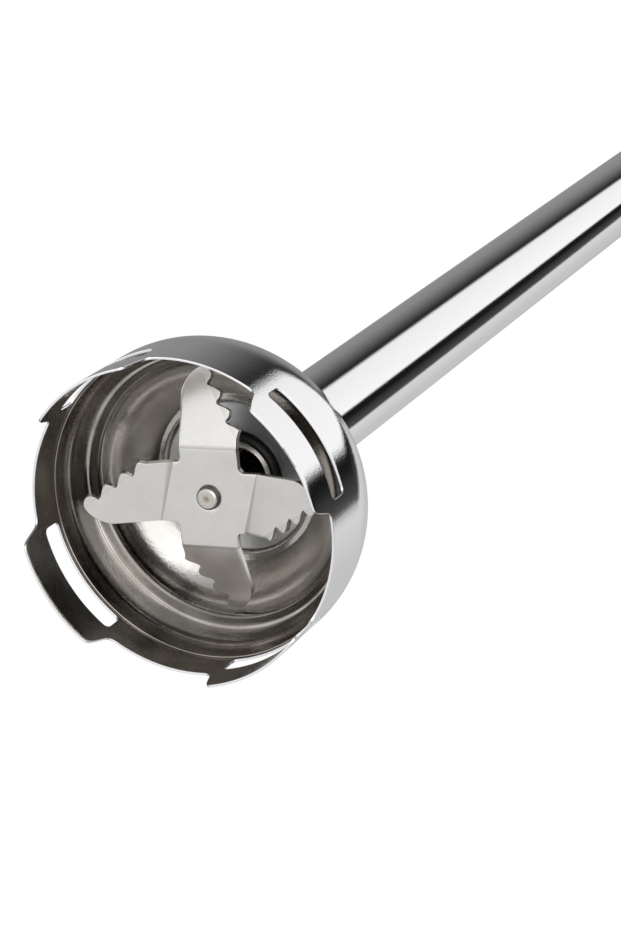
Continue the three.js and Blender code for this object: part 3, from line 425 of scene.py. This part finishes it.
# %% Give a piece its body, slot and finish
SLOT = {part["node"]: part["material_slot"] for part in frame["record"]["subparts"]}
BODY = {node: body for body, nodes in frame["record"]["behaviour"]["bodies"].items() for node in nodes}


def dress(piece, node, finishes=None):
    for finish in finishes or [FINISH[SLOT[node]]]:
        piece.data.materials.append(finish.material)
    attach(piece, BODY[node])
    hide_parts(node)
    return piece


def wall(piece, thickness, inside=0, edge=0):
    """Sheet metal: the surface gets a thickness in mm behind it, and its edges are broken a little."""
    solid = piece.modifiers.new("wall", "SOLIDIFY")
    solid.thickness, solid.offset = thickness * MM, -1
    solid.material_offset = inside
    solid.use_even_offset = True
    if edge:
        broken = piece.modifiers.new("edge", "BEVEL")
        broken.width, broken.segments = edge * MM, 2
        broken.limit_method, broken.angle_limit = "ANGLE", math.radians(50)
    return piece


# %% [markdown]
# ## The bell
# The bell is spun and pressed from one sheet, then punched. Seen flat, its skirt is a band: the lower
# edge steps down to four feet, and each foot has a long slot above it. So the skirt is laid out flat,
# distance round by height, and rolled up afterwards. Columns crowd where the edge steps, and rows
# crowd at the slots, whose corners are rounded by the map that takes a square to a disc.

# %% Lay out the skirt, punch it and roll it up
_, bell_top, BELL_RADIUS = span("bell_guard")
SKIRT, RISE = 17.0, 23.7
BELL_SHEET, CUP_SHEET = 0.45, 0.3
RECESS = 5.85
SLOT_LOW, SLOT_HIGH, SLOT_HALF = 7.6, 12.2, 21.25  # mm, mm and degrees to each side
SLOTS_END = 13.4
NECK = 10.05


def foot_edge(x):
    """Height of the lower edge at a distance x in mm from the middle of a foot: down on the floor, round
    the corner, up the side and out along the recess."""
    at = [0, 9.4, 10.1, 10.7, 11.15, 11.6, 12.2, 12.55, 12.95, 13.5, 14.3, 30]
    up = [0, 0, 0.08, 0.35, 0.95, 2.1, 4.1, 4.95, 5.45, 5.75, RECESS, RECESS]
    return np.interp(np.abs(x), at, up)


def round_corners(x, z, half_x, half_z, radius):
    """Points near the corner of a slot move as a square does when it becomes a disc: u to
    u sqrt(1 - w^2/2) and w to w sqrt(1 - u^2/2), fading out over one more radius."""
    u, w = (np.abs(x) - half_x + radius) / radius, (np.abs(z) - half_z + radius) / radius
    near = (u > 0) & (w > 0)
    cu, cw = np.clip(u, 0, 1), np.clip(w, 0, 1)
    fade = np.clip(2 - np.maximum(u, w), 0, 1) * near * radius
    shift = [fade * cu * (np.sqrt(1 - cw**2 / 2) - 1), fade * cw * (np.sqrt(1 - cu**2 / 2) - 1)]
    return x + np.sign(x) * shift[0], z + np.sign(z) * shift[1]


slot_half = np.radians(SLOT_HALF) * BELL_RADIUS
quarter = np.pi / 2 * BELL_RADIUS
side = np.concatenate(
    [
        np.linspace(0, 9.2, 10)[:-1],
        np.linspace(9.2, slot_half, 9)[:-1],
        np.linspace(slot_half, 14.5, 13)[:-1],
        np.linspace(14.5, quarter / 2, 7),
    ]
)
columns = np.concatenate([-side[:0:-1], side])[:-1]
v_low = np.linspace(0, 1, 9)[:-1]
slot_rows = np.concatenate(
    [
        np.linspace(SLOT_LOW - 0.4, SLOT_LOW, 3)[:-1],
        np.linspace(SLOT_LOW, SLOT_LOW + 1, 6)[:-1],
        np.linspace(SLOT_LOW + 1, SLOT_HIGH - 1, 5)[:-1],
        np.linspace(SLOT_HIGH - 1, SLOT_HIGH, 6)[:-1],
        np.linspace(SLOT_HIGH, SLOTS_END, 5),
    ]
)
rise_angle = np.linspace(0, math.acos((NECK + 2.4) / BELL_RADIUS), 44)
dome_r, dome_z = BELL_RADIUS * np.cos(rise_angle), SKIRT + RISE * np.sin(rise_angle)
neck_z = dome_z[-1] + np.array([0.45, 0.95, 1.5, 2.1, 2.8])
neck_r = NECK + 2.4 - np.array([0.95, 1.6, 2.05, 2.3, 2.4])
high_z = np.concatenate([np.linspace(SLOTS_END, SKIRT, 6)[1:-1], dome_z, neck_z, [bell_top]])
high_r = np.concatenate([np.full(4, BELL_RADIUS), dome_r, neck_r, [NECK]])

x = np.tile(columns, 4)[:, None]
foot = np.repeat(np.arange(4), len(columns))[:, None] * np.pi / 2 - np.pi / 2
start = foot_edge(x)
low = start + (SLOT_LOW - 0.4 - start) * v_low
z = np.concatenate([low, np.tile(slot_rows, (len(x), 1)), np.tile(high_z, (len(x), 1))], 1)
r = np.concatenate([np.full(len(v_low) + len(slot_rows), BELL_RADIUS), high_r])[None, :]
middle = (SLOT_LOW + SLOT_HIGH) / 2
flat_x, flat_z = round_corners(x + 0 * z, z - middle, slot_half, SLOT_HIGH - middle, 1.1)
a = foot + flat_x / BELL_RADIUS
bell_grid = np.stack([r * np.cos(a), r * np.sin(a), flat_z + middle], -1)

next_x = np.roll(x, -1)
inside_x = (np.abs(x) < slot_half + 1e-6) & (np.abs(next_x) < slot_half + 1e-6) & (next_x > x)
mid_z = (z[:, 1:] + z[:, :-1]) / 2
punched = inside_x & (mid_z > SLOT_LOW) & (mid_z < SLOT_HIGH)
bell = sheet("bell_skin", bell_grid, round_u=True, keep=~punched)
smooth(wall(bell, BELL_SHEET, inside=1, edge=0.05), 40)
dress(bell, "bell_guard", [FINISH["spun_steel"], FINISH["satin_steel"]])
print("bell skin:", len(bell.data.polygons), "faces,", int(punched.sum()), "punched out")

# %% [markdown]
# ## The inner cup
# A second pressing lines the bell. It starts on the skirt, goes over a bead and a second, finer ridge,
# climbs steeply, and curves over to the flat middle round the bearing. A smooth curve through a few
# points is closer to pressed sheet than straight lines with rounded corners. The points are the side
# that lies against the bell: the sheet grows inwards from them, so its edge shows as a fine step.

# %% Draw the cup's section as a spline and turn it


def spline(points, steps=8):
    """A Catmull-Rom curve through every point: each piece bends to the slope between its neighbours."""
    p = np.array(points, float)
    p = np.concatenate([2 * p[:1] - p[1:2], p, 2 * p[-1:] - p[-2:-1]])
    t = np.linspace(0, 1, steps, endpoint=False)[None, :, None]
    a, b, c, d = (p[i : len(p) - 3 + i, None] for i in range(4))
    curve = b + t / 2 * (c - a + t * (2 * a - 5 * b + 4 * c - d + t * (3 * (b - c) + d - a)))
    return np.concatenate([curve.reshape(-1, 2), p[-2:-1]])


cup_section = [
    (29.54, 12.9), (29.54, 14.5), (29.54, 16.2), (29.3, 17.4), (28.8, 18.3), (28.1, 19.1), (27.3, 19.95),
    (26.75, 20.4), (26.4, 20.52), (26.1, 20.75), (25.7, 21.15), (25.25, 21.6), (24.9, 21.85), (24.6, 22.4),
    (24.35, 23.2), (23.7, 24.5), (22.6, 25.9), (21.1, 27.2), (19.4, 28.2), (17.7, 28.95), (16.4, 29.35),
    (15.7, 29.4), (15.2, 29.45), (14.85, 29.8), (14.5, 30.2), (14.0, 30.3), (11.8, 30.3), (9.6, 30.3),
    (9.0, 30.35), (8.65, 30.9),
]
cup_curve = spline(cup_section)[::-1]
cup = turned("inner_cup_skin", cup_curve, sides=192, closed=False)
cup.data.flip_normals()
wall(cup, CUP_SHEET)
dress(cup, "inner_cup", [FINISH["cup_steel"]])
print("cup:", len(cup.data.polygons), "faces")

# %% [markdown]
# ## The blade
# One cross of sheet, punched, then folded: two arms lean up into the bell, two lean down. Each arm's
# leading edge has ground teeth. The hub is a ring of grid lines from the rivet hole out to the folds
# and the rounded inner corners. Each arm is a grid that starts on its fold, so the two weld together.

# %% Outline one arm
ARM_LOW, ARM_HIGH = -4.9, 6.6
ARM_REACH = 24.3
FOLD_UP = {"distance": 9.3, "skew": 0.0, "bend": 19.0}
FOLD_DOWN = {"distance": 8.6, "skew": 18.0, "bend": -19.0}
BLADE_LOW = 17.5
BLADE_SHEET = 1.2
FIRST_ARM = 29.5
FIRST_TOOTH, TOOTH_PITCH, TOOTH_LEAN = 12.74, 3.45, 0.588
ARM_ROWS = 21


def trailing_edge(d):
    """At a distance d from the shaft: straight, then a flattened quarter ellipse to the tip,
    height (1 - t^1.6)^(1/1.6)."""
    t = np.clip((d - ARM_REACH + 5) / 5, 0, 1)
    return -0.85 - 4.05 * (1 - t**1.6) ** 0.625


def leading_edge(d):
    """One tooth repeated along a line that leans in: past its point it drops steeply, then sweeps out
    to the next. A quarter ellipse closes the tip."""
    past = (d - FIRST_TOOTH) / TOOTH_PITCH
    at = [0, 0.104, 0.22, 0.336, 0.423, 0.48, 0.54, 0.684, 0.83, 0.945, 1]
    cut = [0, 0.05, -0.45, -1.42, -1.79, -1.78, -1.6, -0.91, -0.37, -0.07, 0]
    teeth = ARM_HIGH + 0.4 - TOOTH_LEAN * (d - FIRST_TOOTH) + np.interp(past % 1, at, cut)
    root = ARM_HIGH + 0.4 * np.clip(1 + (d - FIRST_TOOTH) / 1.6, 0, 1) ** 2
    t = np.clip((d - ARM_REACH + 1.3) / 1.3, 0, 1)
    tip = -0.85 + 1.77 * np.sqrt(1 - t**2)
    return np.where(d < FIRST_TOOTH, root, np.where(past < 3 - 0.03, teeth, tip))


def ground_band(x, y):
    """How far in mm a point lies past the line through the bottoms of the teeth."""
    return (y - ARM_HIGH + 2.1 + TOOTH_LEAN * (x - FIRST_TOOTH - 1.6)) * 0.86


# %% Fold the arms and weld them to the hub


def fold_line(fold, y):
    return fold["distance"] - math.tan(math.radians(fold["skew"])) * y


def folded(fold, x, y, soft=0.5):
    """Past the fold line a point rolls round a cylinder of radius soft, then runs straight on: its
    distance from the line becomes soft sin(t) out and soft (1 - cos(t)) up, up to the full bend."""
    skew, bend = math.radians(fold["skew"]), math.radians(fold["bend"])
    nx, ny = math.cos(skew), math.sin(skew)
    away = (x - fold["distance"]) * nx + y * ny
    turn = np.clip(away / soft, 0, abs(bend))
    rest = np.maximum(away - soft * abs(bend), 0)
    out = soft * np.sin(turn) + rest * math.cos(bend)
    up = soft * (1 - np.cos(turn)) + rest * math.sin(abs(bend))
    out = np.where(away > 0, out, away)
    shift = out - away
    return x + shift * nx, y + shift * ny, math.copysign(1, bend) * np.where(away > 0, up, 0)


def arm_grid(fold):
    """Rows start on the fold and straighten over 3 mm. The ground band is a little thinner, so its
    underside rises by 0.005 mm for each mm past the line."""
    u = np.concatenate([[0, 0.15, 0.3, 0.5, 0.9], np.arange(1.3, ARM_REACH - 1.3 - fold["distance"], 0.13)])
    tip = ARM_REACH - 1.3 + 1.3 * np.sin(np.linspace(0, np.pi / 2, 12))
    u = np.concatenate([u, tip - fold["distance"]])[:, None]
    low, high = trailing_edge(u + fold["distance"]), leading_edge(u + fold["distance"])
    y = low + np.linspace(0, 1, ARM_ROWS)[None, :] * (high - low)
    straight = np.minimum(u / 3, 1)
    x = fold_line(fold, y) * (1 - straight) + fold["distance"] * straight + u
    band = ground_band(x, y)
    out, across, up = folded(fold, x, y)
    return np.stack([out, across, up + 0.005 * np.maximum(band, 0)], -1), band, u + 0 * band


def hub_edge(fold, following):
    """From one end of the fold, along it, then round the inner corner to the next arm's fold."""
    y = np.linspace(ARM_LOW, ARM_HIGH, ARM_ROWS)
    along = np.stack([fold_line(fold, y), y], -1)
    bend = np.radians(np.linspace(-90, -180, 9))
    corner = np.array([1.1 - ARM_LOW, 1.1 + ARM_HIGH]) + 1.1 * np.stack([np.cos(bend), np.sin(bend)], -1)
    last = np.array([-ARM_LOW, fold_line(following, ARM_LOW)])
    step = np.linspace(0, 1, 5)[1:-1, None]
    return np.concatenate(
        [along, along[-1] + step * (corner[0] - along[-1]), corner, corner[-1] + step * (last - corner[-1])]
    )


def spun(points, angle):
    c, s = math.cos(angle), math.sin(angle)
    return points @ np.array([[c, s, 0], [-s, c, 0], [0, 0, 1]])


folds = [FOLD_UP, FOLD_DOWN, FOLD_UP, FOLD_DOWN]
grids, marks, rim = [], [], []
for i, fold in enumerate(folds):
    turn = math.radians(FIRST_ARM + 90 * i)
    grid, band, past_fold = arm_grid(fold)
    grids.append(spun(grid, turn))
    marks.append((band, past_fold))
    edge = hub_edge(fold, folds[(i + 1) % 4])
    rim.append(spun(np.concatenate([edge, 0 * edge[:, :1]], 1), turn))
rim = np.concatenate(rim)
angle = np.arctan2(rim[:, 1], rim[:, 0])
hole = 2.25 * np.stack([np.cos(angle), np.sin(angle), 0 * angle], -1)
share = np.linspace(0, 1, 9)[None, :, None]
hub_grid = hole[:, None] + share * (rim - hole)[:, None]
parts = [sheet("hub", hub_grid + [0, 0, BLADE_LOW], round_u=True)]
parts += [sheet(f"arm_{i}", grid + [0, 0, BLADE_LOW]) for i, grid in enumerate(grids)]
unmarked = np.full(hub_grid.shape[:2], -9.0)
on_fold = unmarked.copy()
on_fold[:, -1] = 0
for part, values in zip(parts, [(unmarked, on_fold), *marks]):
    for name, value in zip(("ground", "fold"), values):
        layer = part.data.attributes.new(name, "FLOAT", "POINT").data
        layer.foreach_set("value", value.ravel().astype(np.float32))
with bpy.context.temp_override(active_object=parts[0], selected_editable_objects=parts):
    bpy.ops.object.join()
blade = weld(parts[0], 0.01)
blade.name = blade.data.name = "blade_skin"


def facing_down(piece):
    """Turns every face whose outside looks up, because the wall grows behind the faces."""
    mesh = piece.data
    normal = np.zeros(len(mesh.polygons) * 3)
    mesh.polygons.foreach_get("normal", normal)
    up = normal.reshape(-1, 3)[:, 2] > 0
    edit = bmesh.new()
    edit.from_mesh(mesh)
    edit.faces.ensure_lookup_table()
    bmesh.ops.reverse_faces(edit, faces=[edit.faces[i] for i in np.flatnonzero(up)])
    edit.to_mesh(mesh)
    edit.free()


facing_down(blade)
smooth(wall(blade, BLADE_SHEET, edge=0.06), 40)
dress(blade, "blade_cross", [FINISH["blade_steel"]])
print("blade:", len(blade.data.polygons), "faces")

# %% [markdown]
# ## Shaft, lip and rings
# The drive shaft's end is riveted over the hub, with a shallow centre mark. Behind it, in the middle
# of the cup, a turned lip shines out of a black rubber ring.

# %% Turn the small pieces of the wand
shaft_low, shaft_top, SHAFT = span("drive_shaft")
shaft_outline = [
    (0, shaft_low + 0.12), (0.3, shaft_low + 0.05), (1.2, shaft_low), (1.75, shaft_low + 0.04),
    (2.2, shaft_low + 0.4), (2.2, BLADE_LOW + 1.4), (SHAFT, BLADE_LOW + 1.4), (SHAFT, shaft_top),
    (0, shaft_top),
]
shaft = turned("drive_shaft_skin", rounded(shaft_outline, 0.12), 64, closed=False)
dress(shaft, "drive_shaft", [FINISH["rivet_steel"]])

low, high, outer = span("blade_washer")
ring = [(SHAFT + 0.1, low), (outer, low), (outer, high), (SHAFT + 0.1, high)]
dress(turned("blade_washer_skin", rounded(ring, 0.25), 72), "blade_washer")

low, high, outer = span("bearing_carrier")
lip_inner, lip_outer, lip_low = 5.5, 7.3, 30.1
carrier = [
    (lip_inner, lip_low + 0.3), (lip_inner + 0.1, lip_low), (lip_outer, lip_low + 1.15),
    (lip_outer, low + 4.2), (outer, low + 4.2), (outer, high), (5.3, high), (5.3, low + 7.6),
    (lip_inner, low + 7.6),
]
dress(turned("carrier_skin", rounded(carrier, 0.1, 4), 128), "bearing_carrier", [FINISH["lip_steel"]])

low, high, outer = span("carrier_gasket")
gasket = [(7.4, low - 3.6), (8.45, low - 4.3), (8.45, low), (outer, low), (outer, high), (7.4, high)]
dress(turned("gasket_skin", rounded(gasket, 0.3), 128), "carrier_gasket")

low, high, outer = span("shaft_tube")
tube = [(outer - 0.8, low), (outer, low), (outer, high), (outer - 0.8, high)]
dress(turned("shaft_tube_skin", rounded(tube, 0.1), 224), "shaft_tube")
print("wand rings done, tube", round(high - low, 1), "mm long")

# %% [markdown]
# ## The collar
# The collar is moulded on the tube. It flares up to the width of the handle, and above the flange is
# the plug with its o-ring groove and the groove that the latch holds.

# %% Turn the collar and its o-ring
low, high, flange = span("wand_collar")
seat = outer + 0.15
FLARE = 40.0
flange_top = low + FLARE + 4.5
plug, latch = 18.5, low + 58.0
t = np.linspace(0, 1, 14)
flare = np.stack([seat + 1.3 + (flange - seat - 1.3) * t**1.9, low + FLARE * t], -1)
collar = [
    *flare, (flange, flange_top), (plug, flange_top), (plug, flange_top + 4), (plug - 1.1, flange_top + 4),
    (plug - 1.1, flange_top + 6.4), (plug, flange_top + 6.4), (plug, latch), (plug - 1.5, latch),
    (plug - 1.5, latch + 3), (plug, latch + 3), (plug, high - 1.5), (plug - 1, high), (10, high),
    (10, latch), (6.27, latch), (6.27, flange_top + 1.5), (3.6, flange_top + 1.5), (3.6, low + 20.5),
    (seat, low + 20.5), (seat, low),
]
dress(turned("collar_skin", rounded(collar, 0.35, 3), 144), "wand_collar")

low, high, outer = span("collar_oring")
bead = np.linspace(0, 2 * np.pi, 16, endpoint=False)
bead = np.stack([outer - 0.62 + 0.6 * np.cos(bead), (low + high) / 2 + 0.88 * np.sin(bead)], -1)
dress(turned("collar_oring_skin", bead, 144), "collar_oring")
print("collar flange radius", round(flange, 2))

# %% [markdown]
# ## Smoothed CAD solids
# The solids of the handle already have the right shape. A copy with its loose corners merged and its
# shading softened shows them without their facets.

# %% Smooth the shown solids of the handle


def smoothed(node, angle=30, finish=None):
    piece = frame["nodes"][node].copy()
    piece.data = piece.data.copy()
    piece.name = piece.data.name = node + "_skin"
    piece.parent = None
    piece.data.materials.clear()
    bpy.context.scene.collection.objects.link(piece)
    return dress(smooth(weld(piece, 0.02), angle), node, finish and [FINISH[finish]])


for node in (
    "socket_ring", "front_shell", "rear_shell", "rear_grip", "fascia", "top_cap", "cord_gland", "chassis",
    "power_button", "turbo_button", "release_right", "release_left", "speed_dial",
):
    smoothed(node)
smoothed("rib_insert", finish="brown_plastic")
print("handle pieces smoothed")

# %% [markdown]
# ## Button springs
# Each button pushes 1.5 mm into its spring. Each spring is smoothed like the other handle pieces and gets a
# mesh of its own.

# %% Smooth the two springs, each with its own mesh
for spring, joint in (("power_spring", "power_press"), ("turbo_spring", "turbo_press")):
    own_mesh(smoothed(spring))

# %% [markdown]
# ## Finishes on the hidden solids
# What the handle hides keeps its CAD mesh, and gets the finish that its slot asks for.

# %% Finish the carried-over nodes
for node, solid in frame["nodes"].items():
    solid.data.materials.clear()
    solid.data.materials.append(FINISH[SLOT[node]].material)
print(sum(not o.hide_render for o in frame["nodes"].values()), "CAD nodes are shown as they are")

# %% [markdown]
# ## The studio
# Polished steel shows its surroundings, not itself. Straight above and in front of the bell is one
# wide white screen; to its sides the room falls off to black and comes back to grey, which makes the
# bands along the tube. Below, the room is pale, with a lamp that the bearing's lip catches and a softer
# panel for the blade, and it is darker round the horizon. Rays that go straight from the camera to the
# surroundings find plain white.

# %% Light the room
world = bpy.data.worlds.new("studio")
bpy.context.scene.world = world
world.use_nodes = True
room = Tree(world.node_tree)
room.tree.nodes.clear()

SCREEN_SIDE = math.radians(-95)
to_screen = (math.cos(SCREEN_SIDE), math.sin(SCREEN_SIDE), 0)
across = (-math.sin(SCREEN_SIDE), math.cos(SCREEN_SIDE), 0)
look = room.node("TexCoord", output="Generated")


def towards(direction):
    """The cosine between a look and a direction."""
    return room.node("VectorMath", {"operation": "DOT_PRODUCT"}, {0: look, 1: direction}, output="Value")


def grey(level):
    return (level, level, level)


around = towards(across)
turn = around.maths("ARCTAN2", around, towards(to_screen)) * (0.5 / math.pi) + 0.5
# Degrees round from the screen's middle, and how bright the room is there.
bands = [
    (-180, 0.30), (-150, 0.29), (-106, 0.26), (-84, 0.18), (-67, 0.095), (-52, 0.025), (-46, 0.03),
    (-39, 0.95), (28, 1.05), (32, 0.012), (43, 0.008), (52, 0.035), (69, 0.075), (73, 0.74),
    (90, 0.68), (110, 0.60), (150, 0.56), (180, 0.35),
]
stops = [((angle + 180) / 360, grey(level)) for angle, level in bands]
above = room.node("ValToRGB", {"stops": stops}, {"Fac": turn})
lamp = towards((-0.10, -0.50, -0.86)).step(0.84, 0.95)
panel = towards((-0.50, 0.20, -0.84)).step(0.82, 0.94)
horizon = towards((0.0, 0.0, -1.0)).step(0.12, 0.42)
side_wall = towards((0.0, 0.0, 1.0)).step(-0.25, 0.1)
below = room.blend(panel, grey(0.84), grey(1.2))
below = room.blend(lamp, below, grey(2.3))
below = room.blend(horizon, grey(0.25), below)
surroundings = room.blend(side_wall, below, above)
seen = room.node("LightPath", output="Is Camera Ray")
shown = room.blend(seen, surroundings, grey(1))
background = room.node("Background", None, {"Color": shown, "Strength": 1})
output = room.tree.nodes.new("ShaderNodeOutputWorld")
room.tree.links.new(background.socket, output.inputs["Surface"])
print("studio bands:", len(bands))

# %% [markdown]
# ## Floor and camera
# The floor is plain and pale, and it is a sheet with one face: from above it is seen with the
# blender's soft shadow, and from underneath, where the camera of this picture stands, it isn't there.

# %% Lay the floor and set the camera
FLOOR_HALF = 2500.0
reach = np.array([-FLOOR_HALF, FLOOR_HALF])
floor = sheet("floor", np.stack(np.broadcast_arrays(reach[:, None], reach[None, :], 0.0), -1))
lit = {"Emission Color": (1, 1, 0.99, 1), "Emission Strength": 0.3}
pale = Finish("floor_paint", {"Base Color": (0.9, 0.9, 0.89, 1), "Roughness": 0.6, **lit})
back = pale.node("NewGeometry", output="Backfacing")
clear = pale.node("BsdfTransparent")
cover = pale.node("MixShader", None, {0: back, 2: clear})
pale.tree.links.new(pale.shader.outputs[0], cover.socket.node.inputs[1])
pale.tree.links.new(cover.socket, pale.tree.nodes["Material Output"].inputs["Surface"])
floor.data.materials.append(pale.material)
floor.visible_glossy = floor.visible_diffuse = floor.visible_transmission = floor.visible_shadow = False

camera_data = bpy.data.cameras.new("camera")
camera_data.lens, camera_data.sensor_width = 97.24, 36.0
camera_data.clip_start, camera_data.clip_end = 0.01, 20
camera = bpy.data.objects.new("camera", camera_data)
camera.location = (-0.022145, -0.250894, -0.363854)
camera.rotation_euler = [math.radians(angle) for angle in (159.683, -24.132, -54.406)]
bpy.context.scene.collection.objects.link(camera)
bpy.context.scene.camera = camera
bpy.context.scene.view_settings.view_transform = "Standard"
print("camera", round(camera.location.length, 3), "m from the bell")
